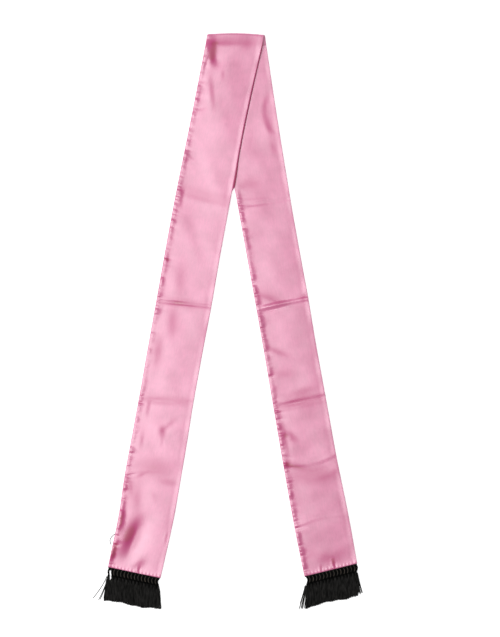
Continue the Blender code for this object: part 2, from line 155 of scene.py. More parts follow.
UNDER_CREASES = (
    Crease("a", 275, 275, 270.5, 0.2, 2.8, 0.05),
    Crease("foot of a", 281.5, 281.5, 277, -0.1, 2.8, 0),
    Crease("b", 450.5, 451, 451.5, 0, 4.4, 1.3),
    Crease("c", 607.5, 608.5, 609, 0.23, 4.0, 0),
    Crease("foot of c", 613.5, 614.5, 614.5, -0.25, 3.6, 0),
    Crease("d", 710, 717, 707, 0.18, 3.6, 0.03),
    Crease("foot of d", 723, 733, 722, -0.24, 6.0, 0),
    Crease("e", 816, 808, 814, 0.04, 2.6, 0.03),
)

# Waves in the slack silk: a ridge with a trough beside it, and a slope between them
# that leans to the right where its line runs straight down the tail, and further down
# the more the line turns to the left. In mm and degrees, across as a share of the width
Wave = namedtuple("Wave", "name down across length width height turn lift", defaults=(0.5,))

UNDER_WAVES = (
    Wave("streak by the fold", 112, 0.83, 34, 16, 0.3, -20),
    Wave("its belly", 142, 0.81, 38, 22, 0.45, 2),
    Wave("its foot", 154, 0.83, 20, 16, 0.3, 18),
    Wave("spot below it", 186, 0.84, 24, 16, 0.2, 0),
    Wave("shade above crease a", 240, 0.28, 50, 18, 0.3, -88),
    Wave("slant above crease b", 433, 0.26, 46, 18, 0.5, 62),
    Wave("corner of crease b", 443, 0.93, 16, 9, 0.25, -30),
    Wave("hollow under crease b", 451, 0.27, 38, 10, 0.8, -90),
    Wave("slack of the seam", 523, 0.24, 44, 16, 0.5, 60),
    Wave("slack below it", 556, 0.2, 40, 12, 0.25, 72),
    Wave("shade above crease c", 596, 0.55, 44, 16, 0.25, -88),
    Wave("slack lower down", 664, 0.23, 34, 20, 0.6, 40),
    Wave("slack along the seam", 672, 0.12, 64, 12, 0.3, 0),
    Wave("faint by the edge", 661, 0.8, 32, 8, 0.3, 80),
    Wave("hook at crease e", 817, 0.15, 26, 12, 0.3, 75),
    Wave("hollow at the hem", 872, 0.42, 36, 30, 0.4, -66),
    Wave("pinch at the hem", 887, 0.575, 17, 8, 0.7, 0),
    Wave("small pinch", 888, 0.33, 12, 7, 0.4, 0),
)

# Patches of painted shade, where the silk hangs slack and turns a little from the light, too
# shallow to model. The same measures as a wave's, and how deep the painted shade goes, to 1
Sag = namedtuple("Sag", "name down across length width turn depth")

UNDER_SHADE_PATCHES = (
    Sag("top of the streak", 107, 0.85, 26, 8, -32, 0.3),
    Sag("streak by the fold", 122, 0.79, 34, 9, -10, 0.45),
    Sag("its belly", 148, 0.82, 34, 17, 8, 0.5),
    Sag("below the streak", 186, 0.83, 28, 20, 0, 0.5),
    Sag("above crease a", 243, 0.27, 44, 17, 90, 0.6),
    Sag("wide above crease a", 257, 0.42, 80, 34, 90, 0.3),
    Sag("by the right edge", 248, 0.93, 50, 8, 0, 0.25),
    Sag("mottle of the seam", 345, 0.08, 130, 12, 0, 0.2),
    Sag("above crease b", 430, 0.24, 56, 20, 66, 0.65),
    Sag("corner of crease b", 442, 0.91, 15, 10, 90, 0.7),
    Sag("slack of the seam", 522, 0.24, 52, 14, 62, 0.5),
    Sag("slack below it", 560, 0.25, 50, 14, 82, 0.5),
    Sag("above crease c", 597, 0.55, 52, 17, 90, 0.6),
    Sag("crease c", 612, 0.5, 100, 18, 90, 0.86),
    Sag("below crease c", 664, 0.22, 30, 20, 60, 0.8),
    Sag("seam below crease c", 665, 0.09, 100, 15, 0, 0.38),
    Sag("crease d", 714, 0.18, 46, 12, 68, 0.9),
    Sag("right end of crease d", 713, 0.97, 20, 6, 0, 0.5),
    Sag("hollow below crease d", 735, 0.52, 80, 28, 88, 0.85),
    Sag("seam below crease d", 757, 0.12, 44, 18, 0, 0.3),
    Sag("seam lower down", 830, 0.05, 120, 9, 0, 0.25),
    Sag("left of the hem's hollow", 868, 0.38, 48, 17, 62, 0.5),
    Sag("right of the hem's hollow", 872, 0.66, 34, 15, -62, 0.45),
    Sag("pinch at the hem", 886, 0.575, 20, 7, 0, 0.8),
    Sag("small pinch", 887, 0.33, 12, 6, 0, 0.4),
)

# Where the silk gathers most along the seam: distance down, reach to each side along
# the seam, and how far the edge stands up
Gather = namedtuple("Gather", "down along rise")

UNDER_GATHERS = (
    Gather(290, 12, 0.8), Gather(325, 18, 0.45), Gather(395, 4, 0.9), Gather(428, 14, 0.7),
    Gather(482, 26, 1.1), Gather(552, 8, 0.35), Gather(620, 10, 0.35), Gather(665, 26, 0.35),
    Gather(711, 4, 0.5), Gather(765, 18, 0.4), Gather(822, 8, 0.5), Gather(860, 30, 0.6),
)

# A tail: its tables, how far its seam stands up everywhere, and the seed of its unevenness
Tail = namedtuple("Tail", "lay creases waves sags gathers seam_up seed")
UNDER = Tail(UNDER_LAY, UNDER_CREASES, UNDER_WAVES, UNDER_SHADE_PATCHES, UNDER_GATHERS, seam_up=0.55, seed=11)

# The line of the fold, which bows up in its middle
FOLD_LINE_Y = 469.9
FOLD_ARCH = 2.4
FOLD_ARCH_FADES = 11.0

# The tube, in mm: its width, its thickness flat and where a hollow brings its layers
# together, the level of its edges and how wide they roll off, and its puff and slack
TUBE_WIDTH = 90.0
FLAT_THICKNESS = 2.5
THINNEST = 0.9
MEETING_SOFTENS = 0.2
SILK_THICKNESS = 0.35
EDGE_LEVEL = 0.7
SEAM_ROLL = 1.0
EDGE_ROLL = 0.4
BED_ROLL = 1.4
PUFF_SHARE = 0.6
SLACK_SLOPE = 0.0009
SLACK_LENGTHS = np.linspace(26.0, 90.0, 14)

# The sewn edge, and on the other side the rim of the cloth's fold and the groove beside
# it: how far in each lies, how far it reaches, and how far it goes up or down
SEAM_AT, SEAM_REACH = 3.0, 4.0
RIM_AT, RIM_REACH, RIM_UP = 0.2, 3.8, 0.32
GROOVE_AT, GROOVE_REACH, GROOVE_DOWN = 7.5, 2.6, 0.04

# Painted shade between the seam's gathers and where a hollow leaves the tube thin
SEAM_SHADE, SEAM_SHADE_AT, SEAM_SHADE_REACH = 0.46, 5.0, 3.7
HOLLOW_SHADE, HOLLOW_FROM, HOLLOW_DEPTH = 0.3, 0.6, 3.4

# Puckers run in from the seam, higher near a gather. Each takes its reach, half width,
# rise or fall, lean and way to the next by lot from these spans
PUCKERS_FROM, PUCKERS_END_SHORT = 14.0, 8.0
PUCKER_REACH, PUCKER_HALF, PUCKER_RISE = (5.0, 15.0), (1.8, 4.0), (0.2, 0.8)
PUCKER_LEAN, PUCKER_SPACING = (-0.5, 0.5), (7.0, 20.0)
NEAR_GATHER = 1.3

# The hem is sewn down to the fringe and scallops up over each of its fifteen bundles
TASSELS = 15
HEM_NARROWS = 2.2
HEM_LEVEL = 2.25
SCALLOP_UP, SCALLOP_REACH = 0.7, 4.5

# The over tail's piece goes round the fold and this far beneath it. As far down as the
# crotch it presses the under tail flat, which has its own form again past its edge
PARTING_DOWN = 12.15
CROTCH_DOWN = 260.0
CROTCH_SOFTENS = 20.0
PRESSED = 1.3
PRESSED_TO = -3.5
UNCOVERED_FROM = 3.0
UNCOVERED_BY = 14.0

# Rows of the mesh, closer together at the creases and the hem
ROW_STEP = 2.1
CREASE_STEP = 0.9
CREASE_REACH, CREASE_SOFTENS = 8.0, 6.0
ROW_GUIDE = 4000


def smooth(t):
    """Soft step from 0 to 1."""
    t = np.clip(t, 0.0, 1.0)
    return t * t * (3.0 - 2.0 * t)


def hump(off, reach):
    """A smooth hump, 1 in its middle and a third of that at its reach."""
    return np.exp(-(off / reach) ** 2)


def lay_value(lay, down, column):
    """A column's value at distances down a tail, along a smooth curve."""
    downs = np.array([section.down for section in lay.sections])
    values = np.array([getattr(section, column) for section in lay.sections])
    order = np.arange(len(downs))
    before, after = np.maximum(order - 1, 0), np.minimum(order + 1, order[-1])
    slopes = (values[after] - values[before]) / (downs[after] - downs[before])
    i = np.clip(np.searchsorted(downs, down, side="right") - 1, 0, len(downs) - 2)
    span = downs[i + 1] - downs[i]
    t = np.clip((down - downs[i]) / span, 0.0, 1.0)
    rest = 1.0 - t
    return (values[i] * (1.0 + 2.0 * t) * rest ** 2 + slopes[i] * span * t * rest ** 2
            + values[i + 1] * t * t * (3.0 - 2.0 * t) - slopes[i + 1] * span * t * t * rest)


def plan(lay, down, across):
    """Places below a tail, x and y in mm, with across from 0 at the left edge to 1."""
    drift = lay_value(lay, down, "drift")
    beside = lay_value(lay, down, "width") * (across - 0.5)
    lower = np.tan(np.radians(lay_value(lay, down, "turn"))) * beside
    arch = FOLD_ARCH * (1.0 - (2.0 * across - 1.0) ** 2) * (1.0 - smooth(down / FOLD_ARCH_FADES))
    along = down + lower - arch
    x = lay.fold_x + math.sin(lay.splay) * along + math.cos(lay.splay) * (drift + beside)
    y = FOLD_LINE_Y - math.cos(lay.splay) * along + math.sin(lay.splay) * (drift + beside)
    return np.stack(np.broadcast_arrays(x, y), axis=-1)


def past_line(points, top, low):
    """How far points lie to the right of a line that runs down the picture."""
    line = (low - top) / np.linalg.norm(low - top)
    return (points - top) @ np.array((-line[1], line[0]))


def edge_form(down, inward):
    """Height of the folded edge's rim and groove over the flat cloth, never the same for long."""
    wander = np.sin(down / 17.0) + np.sin(down / 7.3) + np.sin(down / 31.0 + 1.0)
    rim = RIM_UP * hump(inward - RIM_AT, RIM_REACH)
    groove = GROOVE_DOWN * hump(inward - GROOVE_AT - 0.5 * wander, GROOVE_REACH)
    return (rim - groove) * (1.0 + 0.28 * wander)


def gathered_up(tail, down):
    """How far the gathers of a tail's seam stand up at distances down it."""
    return sum(gather.rise * hump(down - gather.down, gather.along) for gather in tail.gathers)


def seam_form(tail, down, inward):
    """Height of the sewn edge, which stands up more where the silk gathers."""
    # Waves whose lengths have no common measure, so that no two gathers are alike
    stitches = 0.3 * np.sin(down / 0.9 + tail.seed)
    small_gathers = 0.36 * np.sin(down / 1.7 + 2.2 * np.sin(down / 9.7))
    pull_of_the_hand = 0.45 * np.sin(down / 4.7 + 2.0 + 1.8 * np.sin(down / 17.0))
    uneven = 0.9 + stitches + small_gathers + pull_of_the_hand
    reach = SEAM_REACH + 0.8 * np.sin(down / 6.1)
    rise = (tail.seam_up + gathered_up(tail, down)) * np.maximum(uneven, 0.0)
    return rise * hump(inward - SEAM_AT, reach)


def seam_shade(tail, down, inward):
    """Painted shade between the gathers of the seam, where the silk faces itself."""
    # Slanted waves, the closest ones strayed, so that the deep places come unevenly
    between = (np.sin(down / 1.6 + 0.35 * inward + 3.0 * np.sin(down / 9.1))
               + np.sin(down / 3.7 - inward)
               + np.sin(down / 8.3 + 0.9 * inward + tail.seed))
    deep = SEAM_SHADE * np.minimum(gathered_up(tail, down), 1.0) * smooth(0.6 + 0.45 * between)
    return deep * hump(inward - SEAM_SHADE_AT, SEAM_SHADE_REACH)


def crease_form(crease, down, across):
    """Height of a pressed crease: a ridge above its line and a trough below."""
    line = (crease.left * (1.0 - across) * (1.0 - 2.0 * across)
            + crease.middle * 4.0 * across * (1.0 - across)
            + crease.right * across * (2.0 * across - 1.0))
    off = (down - line) / crease.half
    uneven = 0.8 + 0.2 * np.sin(across * 9.0 + crease.left)
    fall = -crease.fall * off * np.exp(0.5 - 0.5 * off ** 2)
    ridge = crease.ridge * np.exp(-(off + 1.0) ** 2 / 0.6)
    return (fall + ridge) * uneven


def off_and_reach(spot, down, beside):
    """How far off the line of a wave or a patch of painted shade, in mm, and the square of how far out of
    its oval.
    """
    turn = math.radians(spot.turn)
    along = down - spot.down
    on_line = along * math.cos(turn) + beside * math.sin(turn)
    off_line = beside * math.cos(turn) - along * math.sin(turn)
    return off_line, (2.0 * on_line / spot.length) ** 2 + (2.0 * off_line / spot.width) ** 2


def wave_form(wave, down, beside):
    """Height of a wave, with beside in mm from its own middle."""
    off_line, reach = off_and_reach(wave, down, beside)
    share = 1.0 + (1.0 - 2.0 * wave.lift) * np.tanh(off_line / (0.15 * wave.width))
    return -wave.height * np.sin(math.pi * off_line / wave.width) * np.exp(-1.2 * reach) * share


def patch_shade(patch, down, beside):
    """How deep the painted shade lies at a patch, with beside as in a wave."""
    reach = off_and_reach(patch, down, beside)[1]
    return patch.depth * np.exp(-0.9 * reach ** 1.3)


def slack_form(seed, down, beside):
    """Low, wide unevenness of silk that lies loose on itself."""
    random = np.random.default_rng(seed)
    height = np.zeros(np.broadcast(down, beside).shape)
    for length in SLACK_LENGTHS:
        turn = random.uniform(0.0, math.pi)
        phase = random.uniform(0.0, 2.0 * math.pi)
        way = down * math.cos(turn) + beside * math.sin(turn)
        height += SLACK_SLOPE * length * np.sin(2.0 * math.pi * way / length + phase)
    return height


def pucker_form(tail, down, inward):
    """Small gathers that run in from the sewn edge."""
    random = np.random.default_rng(tail.seed)
    height = np.zeros(np.broadcast(down, inward).shape)
    place = PUCKERS_FROM
    while place < tail.lay.sections[-1].down - PUCKERS_END_SHORT:
        reach = random.uniform(*PUCKER_REACH)
        half = random.uniform(*PUCKER_HALF)
        rise = random.uniform(*PUCKER_RISE) * random.choice((-1.0, 1.0))
        lean = random.uniform(*PUCKER_LEAN)
        off = (down - place - lean * inward) / half
        gathered = sum(gather.rise for gather in tail.gathers
                       if abs(gather.down - place) < NEAR_GATHER * gather.along + 3.0)
        height += rise * min(1.0, tail.seam_up + gathered) * np.exp(-off ** 2 - (inward / reach) ** 2)
        place += random.uniform(*PUCKER_SPACING)
    return height


def silk_top(tail, down, beside, width, sunk=0.0):
    """Height of the tube's upper layer over its underside, in mm, and how much shade is painted on it."""
    across = beside / width
    end = tail.lay.sections[-1].down
    inside = np.clip(4.0 * across * (1.0 - across), 0.0, 1.0)
    height = PUFF_SHARE * lay_value(tail.lay, down, "puff") * inside ** 0.6
    height += seam_form(tail, down, beside)
    height += edge_form(down, width - beside)
    height += slack_form(tail.seed, down, beside) * inside ** 0.3
    height += pucker_form(tail, down, beside)
    for crease in tail.creases:
        height += crease_form(crease, down, across) * inside ** 0.15
    for wave in tail.waves:
        height += wave_form(wave, down, beside - wave.across * width)
    # The two layers of the tube meet where a hollow is deep
    spare = FLAT_THICKNESS + height - sunk - THINNEST
    thick = THINNEST + 0.5 * (spare + np.sqrt(spare ** 2 + MEETING_SOFTENS))
    # Painted shade: where a hollow leaves the tube thin, between the seam's gathers, and at each patch
    shade = HOLLOW_SHADE * smooth((HOLLOW_FROM - spare) / HOLLOW_DEPTH) + seam_shade(tail, down, beside)
    for patch in tail.sags:
        shade += patch_shade(patch, down, beside - patch.across * width)
    to_hem = smooth((end - down) / HEM_NARROWS)
    scallop = SCALLOP_UP * np.abs(np.sin(math.pi * TASSELS * across)) * hump(end - down, SCALLOP_REACH)
    return thick * to_hem + HEM_LEVEL * (1.0 - to_hem) + scallop, np.minimum(shade, 1.0)


# The columns of the tube's mesh, from the middle of its underside round by the left edge:
# the shares of the left roll, the flat and the right roll to the left of each, and its
# level, from -1 beneath to 1 on top
ROLL = np.linspace(0.0, math.pi / 2.0, 7)
UNDERCUT = ROLL[2::2]
TOP = np.concatenate(([0.004], np.linspace(0.0, 1.0, 57)[1:-1], [0.996]))
BED = np.linspace(0.0, 1.0, 13)[1:-1]
BED_MIDDLE = len(BED) // 2
stretches = (
    (1.0, BED[BED_MIDDLE::-1], 0.0, -1.0),
    (1.0 - np.cos(UNDERCUT[::-1]), 0.0, 0.0, -np.sin(UNDERCUT[::-1])),
    (1.0 - np.cos(ROLL), 0.0, 0.0, np.sin(ROLL)),
    (1.0, TOP, 0.0, 1.0),
    (1.0, 1.0, np.cos(ROLL[::-1]), np.sin(ROLL[::-1])),
    (1.0, 1.0, np.cos(UNDERCUT), -np.sin(UNDERCUT)),
    (1.0, BED[:BED_MIDDLE - 1:-1], 0.0, -1.0),
)
left_share, flat_share, right_share, level = np.concatenate(
    [np.stack(np.broadcast_arrays(*stretch)) for stretch in stretches], axis=1)
# How wide a roll and the flat count in the cloth's own map, in mm
MAP_ROLL, MAP_FLAT = 2.0, 86.0


def in_scene(name, data):
    """A new object made of some data, in the scene."""
    made = bpy.data.objects.new(name, data)
    bpy.context.scene.collection.objects.link(made)
    return made


def cloth_tube(name, runs, place):
    """A tube of cloth: a grid put in place row by row, closed round and given its thickness."""
    mesh = bmesh.new()
    mesh.loops.layers.uv.new("UVMap")
    columns, rows = len(level) - 1, len(runs) - 1
    bmesh.ops.create_grid(mesh, x_segments=columns, y_segments=rows, size=0.5, calc_uvs=True)
    grid = np.array([vert.co for vert in mesh.verts])
    column = np.rint((grid[:, 0] + 0.5) * columns).astype(int)
    row = np.rint((grid[:, 1] + 0.5) * rows).astype(int)
    points, shade = place(runs[row], column)
    # Each point's painted shade goes with it, for the silk's colour
    shade_layer = mesh.verts.layers.float.new("shade")
    for vert, point, dark in zip(mesh.verts, points * MM, shade):
        vert.co = point
        vert[shade_layer] = dark
    data = bpy.data.meshes.new(name)
    mesh.to_mesh(data)
    beside = left_share * MAP_ROLL + flat_share * MAP_FLAT + right_share * MAP_ROLL
    around = np.cumsum(np.append(0.0, np.hypot(np.diff(beside), np.diff(level))))
    marks = np.empty(2 * len(data.loops))
    data.uv_layers["UVMap"].data.foreach_get("uv", marks)
    marks = marks.reshape(-1, 2)
    marks[:, 0] = around[np.rint(marks[:, 0] * columns).astype(int)] * MM
    marks[:, 1] = runs[np.rint(marks[:, 1] * rows).astype(int)] * MM
    data.uv_layers["UVMap"].data.foreach_set("uv", marks.ravel())
    mesh.clear()
    mesh.from_mesh(data)
    bmesh.ops.remove_doubles(mesh, verts=mesh.verts, dist=0.01 * MM)
    bmesh.ops.recalc_face_normals(mesh, faces=mesh.faces)
    mesh.to_mesh(data)
    mesh.free()
    data.shade_smooth()
    data.materials.append(silk)
    piece = in_scene(name, data)
    wall = piece.modifiers.new("silk's own thickness", "SOLIDIFY")
    wall.thickness = SILK_THICKNESS * MM
    wall.offset = -1.0
    return piece


def across_section(tail, down, column, past=0.0):
    """Distance from the left edge and whole width, in mm, at a column of the tube's mesh."""
    width = lay_value(tail.lay, down, "width")
    beneath = level[column] < 0.0
    left = np.where(beneath, BED_ROLL, SEAM_ROLL)
    right = np.where(beneath, BED_ROLL, EDGE_ROLL + past)
    beside = (left_share[column] * left + flat_share[column] * (width + past - left - right)
              + right_share[column] * right)
    return beside, width


def section_height(thick, column):
    """Height over the tube's underside at a column of its mesh, where it is so thick."""
    return np.where(level[column] < 0.0, EDGE_LEVEL * (1.0 + level[column]),
                    EDGE_LEVEL + (thick - EDGE_LEVEL) * level[column])


def place_under(down, column):
    """Where the under tail's mesh goes: flat beneath, and pressed flat by the over tail."""
    beside, width = across_section(UNDER, down, column)
    floor = plan(UNDER_LAY, down, beside / width)
    top = plan(OVER_LAY, 0.0, 1.0)
    low = plan(OVER_LAY, CROTCH_DOWN, 1.0)
    beyond = past_line(floor, top, low)
    free = smooth((beyond - UNCOVERED_FROM) / UNCOVERED_BY)
    form, shade = silk_top(UNDER, down, beside, width)
    below_crotch = smooth((down - CROTCH_DOWN) / CROTCH_SOFTENS)
    free = free + (1.0 - free) * below_crotch
    pressed = FLAT_THICKNESS + (PRESSED - FLAT_THICKNESS) * (1.0 - smooth(1.0 - beyond / PRESSED_TO))
    pressed = pressed + (FLAT_THICKNESS - pressed) * below_crotch
    thick = pressed + (form - FLAT_THICKNESS) * free
    # The places, and the painted shade, which is painted on the top only and left off where the over tail
    # covers it
    return (np.column_stack((floor, section_height(thick, column))),
            shade * free * (level[column] > -0.5))


def rows_between(start, end, creases):
    """Distances for the rows of a tube's mesh, closer together at its creases and its hem."""
    fine = np.linspace(start, end, ROW_GUIDE)
    nearest = np.min([np.abs(fine - crease.middle) for crease in creases] + [end - fine], axis=0)
    step = CREASE_STEP + (ROW_STEP - CREASE_STEP) * smooth((nearest - CREASE_REACH) / CREASE_SOFTENS)
    number = np.append(0.0, np.cumsum(np.diff(fine) / step[1:]))
    return np.interp(np.linspace(0.0, number[-1], math.ceil(number[-1]) + 1), number, fine)


# How the over tail lies, and the fold at its head, which the under tail's place follows
OVER_LAY = Lay(11.3, math.radians(-10.7), (
    Section("fold", 0.0, 0.0, 92.0, -9.9, 0.0),
    Section("shoulder", 135.1, -2.9, 87.9, -3.2, 0.8),
    Section("crease a", 272.5, -3.3, 90.5, 2.8, 0.7),
    Section("panel ab", 363.8, -3.0, 90.6, -0.2, 1.4),
    Section("crease b", 449.1, -1.9, 91.1, -6.8, 0.8),
    Section("panel bc", 529.4, -1.6, 90.2, -7.1, 1.5),
    Section("crease c", 613.8, -0.8, 89.8, -7.6, 0.8),
    Section("panel cd", 679.4, 0.2, 91.4, -6.8, 1.4),
    Section("crease d", 743.4, 0.9, 92.2, -6.0, 1.0),
    Section("bend", 807.8, 2.5, 90.4, -4.4, 1.6),
    Section("hem", 899.5, 0.0, 88.7, 1.2, 0.0),
))

under_runs = rows_between(PARTING_DOWN, UNDER_LAY.sections[-1].down, UNDER_CREASES)
under_tail = cloth_tube("under_tail_silk", under_runs, place_under)
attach(under_tail, "root")
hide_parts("under_tail")

# The over tail, the half of the tube that comes off the fold and lies on top. It is the
# same silk with the same seam on its left edge; it drapes down over the under tail's
# left edge, and the fold at its head stays a soft loop, as it was never pressed.

OVER_CREASES = (
    Crease("a", 265, 266, 266.5, 0.08, 4.6, 0),
    Crease("foot of a", 274, 275, 276, -0.08, 4.4, 0),
    Crease("b", 445, 446.5, 448, 0.23, 2.8, 0),
    Crease("foot of b", 449.5, 451, 453, -0.22, 2.8, 0),
    Crease("c", 608, 609, 609.5, 0.16, 4.4, 0),
    Crease("foot of c", 614, 616, 617, -0.13, 4.2, 0),
    Crease("d", 741, 731, 741.5, 0.05, 3.2, 0.04),
    Crease("foot of d", 752, 742, 751, -0.07, 5.0, 0),
)

OVER_WAVES = (
    Wave("hollow in the corner", 25, 0.2, 60, 46, 2.1, 9, 0.9),
    Wave("its right foot", 42, 0.2, 28, 20, 0.7, 30),
    Wave("its left foot", 48, 0.06, 24, 9, 0.7, -8),
    Wave("right half leans off", 120, 0.66, 280, 76, 0.4, 0),
    Wave("pulled up beside the streak", 96, 0.17, 76, 24, -0.35, 17),
    Wave("over the edge beneath", 97, 0.29, 60, 16, 0.35, 16),
    Wave("short streak", 64, 0.42, 16, 8, 0.15, 10),
    Wave("spot at crease a", 279, 0.12, 34, 12, 0.5, 0, 0.6),
    Wave("streak above crease b", 415, 0.36, 66, 28, 0.25, 4),
    Wave("spot below crease b", 462, 0.12, 20, 10, 0.2, -8),
    Wave("hollow below crease b", 482, 0.35, 46, 26, 0.36, 8),
    Wave("shade below it", 535, 0.19, 60, 24, 0.42, 0),
    Wave("streak below crease c", 626, 0.2, 28, 12, 0.3, 0),
    Wave("tick", 662, 0.52, 20, 19, 0.5, 20),
    Wave("tick's long arm", 652, 0.62, 28, 16, 0.35, -43),
    Wave("tick's foot", 680, 0.55, 22, 10, 0.15, 2),
    Wave("streak by the seam", 680, 0.19, 26, 12, 0.3, 4),
    Wave("hollow above crease d", 719, 0.5, 44, 40, 0.3, -50),
    Wave("spot at crease d", 738, 0.28, 20, 10, 0.2, -60),
    Wave("slack below crease d", 776, 0.25, 70, 40, 0.3, -5),
    Wave("dent by the seam", 760, 0.14, 34, 14, 0.3, 8),
    Wave("dent beside it", 782, 0.29, 38, 24, 0.34, 14),
    Wave("long slant hollow", 834, 0.28, 52, 46, 3.6, -7, 0.35),
    Wave("its lower half", 860, 0.235, 42, 40, 2.8, -14, 0.35),
    Wave("seam above it", 814, 0.125, 44, 30, 2.0, 3, 0.9),
    Wave("seam below it", 876, 0.06, 38, 20, 1.6, -4, 0.9),
    Wave("by the right edge", 836, 0.94, 22, 8, 0.4, 0),
    Wave("hollow at the hem", 884, 0.56, 26, 26, 0.8, -30),
    Wave("pinch at the hem", 895, 0.565, 14, 7, 0.7, 0),
)

# Patches of painted shade on the over tail
OVER_SHADE_PATCHES = (
    Sag("corner by the fold", 27, 0.13, 40, 26, 2, 0.85),
    Sag("beside the corner", 24, 0.24, 38, 24, 4, 0.3),
    Sag("foot of the corner", 44, 0.2, 26, 13, 35, 0.3),
    Sag("along the fold", 10, 0.42, 84, 12, 90, 0.48),
    Sag("its right end", 15, 0.75, 24, 16, -50, 0.45),
    Sag("below the corner", 66, 0.42, 18, 8, 4, 0.5),
    Sag("streak over the edge beneath", 98, 0.29, 52, 8, 17, 0.35),
    Sag("seam below the fold", 112, 0.05, 60, 8, 0, 0.35),
    Sag("spots of the seam", 214, 0.07, 14, 14, 0, 0.45),
    Sag("crease a", 268, 0.52, 100, 19, 90, 0.75),
    Sag("seam at crease a", 283, 0.13, 42, 11, 0, 0.45),
    Sag("mottle of the seam", 370, 0.06, 150, 12, 0, 0.5),
    Sag("spot of the seam", 381, 0.08, 14, 5, 90, 0.8),
    Sag("above crease b", 412, 0.38, 64, 24, 4, 0.42),
    Sag("crease b", 449, 0.5, 104, 14, 87, 0.86),
    Sag("seam below crease b", 461, 0.12, 20, 9, 0, 0.25),
    Sag("hollow below crease b", 482, 0.36, 46, 24, 14, 0.5),
    Sag("below that hollow", 532, 0.2, 62, 20, 6, 0.6),
    Sag("crease c", 611, 0.5, 100, 17, 90, 0.68),
    Sag("below crease c", 626, 0.2, 24, 9, 0, 0.5),
    Sag("tick", 663, 0.52, 22, 15, 12, 0.6),
    Sag("tick's long arm", 651, 0.62, 32, 13, -50, 0.35),
    Sag("seam by the tick", 676, 0.18, 34, 14, 0, 0.5),
    Sag("dome above crease d", 723, 0.48, 58, 34, 88, 0.9),
    Sag("right end of crease d", 746, 0.8, 34, 11, 86, 0.65),
    Sag("spot at crease d", 738, 0.28, 15, 12, 0, 0.4),
    Sag("wide below crease d", 768, 0.22, 52, 40, 0, 0.5),
    Sag("dent by the seam", 759, 0.14, 32, 13, 8, 0.25),
    Sag("dent above the hollow", 786, 0.29, 40, 22, 14, 0.25),
    Sag("small below crease d", 771, 0.58, 18, 7, 25, 0.4),
    Sag("seam above the hollow", 770, 0.07, 58, 9, 0, 0.4),
    Sag("seam at the hollow's head", 814, 0.06, 36, 13, 0, 0.8),
    Sag("seam beside the hollow", 846, 0.1, 60, 26, 0, 0.2),
    Sag("seam below the hollow", 871, 0.045, 38, 13, 0, 1.0),
    Sag("long slant hollow", 836, 0.275, 60, 29, -9, 1.0),
    Sag("right edge by the hollow", 835, 0.95, 22, 8, 0, 0.3),
    Sag("hollow at the hem", 884, 0.58, 20, 15, 0, 0.45),
    Sag("pinch at the hem", 896, 0.565, 14, 7, 0, 0.6),
)

OVER_GATHERS = (
    Gather(110, 14, 0.25), Gather(214, 9, 0.6), Gather(283, 14, 0.3), Gather(325, 16, 0.35),
    Gather(381, 3.5, 0.8), Gather(412, 16, 0.4), Gather(462, 6, 0.25), Gather(612, 6, 0.4),
    Gather(699, 3, 0.9), Gather(752, 9, 0.45), Gather(779, 7, 0.45), Gather(805, 9, 0.7),
    Gather(825, 8, 0.6), Gather(846, 10, 0.35), Gather(873, 15, 0.8),
)

OVER = Tail(OVER_LAY, OVER_CREASES, OVER_WAVES, OVER_SHADE_PATCHES, OVER_GATHERS, seam_up=0.45, seed=23)

# The loop of the fold: its radius, how much of that it reaches out, how far it lies past
# the fold's line, and the ways down in which it joins its tail and settles on the other
FOLD_RADIUS = 2.2
FOLD_FLATTENED = 0.5
FOLD_SHIFT = 1.7
SHIFT_FADES_OVER, SHIFT_FADES_BENEATH = 12.0, 10.0
FOLD_JOINS = 10.0
FOLD_SETTLES = 45.0
FOLD_ROWS = 16

# The dip that the loop leaves just below it, deeper on the left
FOLD_DIP_LEFT, FOLD_DIP_RIGHT = 1.4, 0.3
FOLD_DIP_FROM, FOLD_DIP_BY = 2.0, 17.0

# How far the under tail lifts this one, from the foot to the crest of its drape, which
# lie on either side of the under tail's left edge
DRAPE_LIFT = 2.7
DRAPE_CREST = 25.0
DRAPE_FOOT = -80.0

# The right edge stands on the under tail as a small steep wall: how far it leans out and
# opens above the crotch, where it begins and ends, its rim on top and the shade painted on its side
WALL_PAST, WALL_OPENS = 1.9, 1.8
WALL_FROM, WALL_ENDS_ABOVE, WALL_FADES = 12.0, 20.0, 12.0
OPENS_ABOVE, OPENS_OVER = 75.0, 50.0
WALL_RIM, WALL_RIM_AT, WALL_RIM_REACH = 0.3, 1.0, 2.4
WALL_SHADE = 0.6


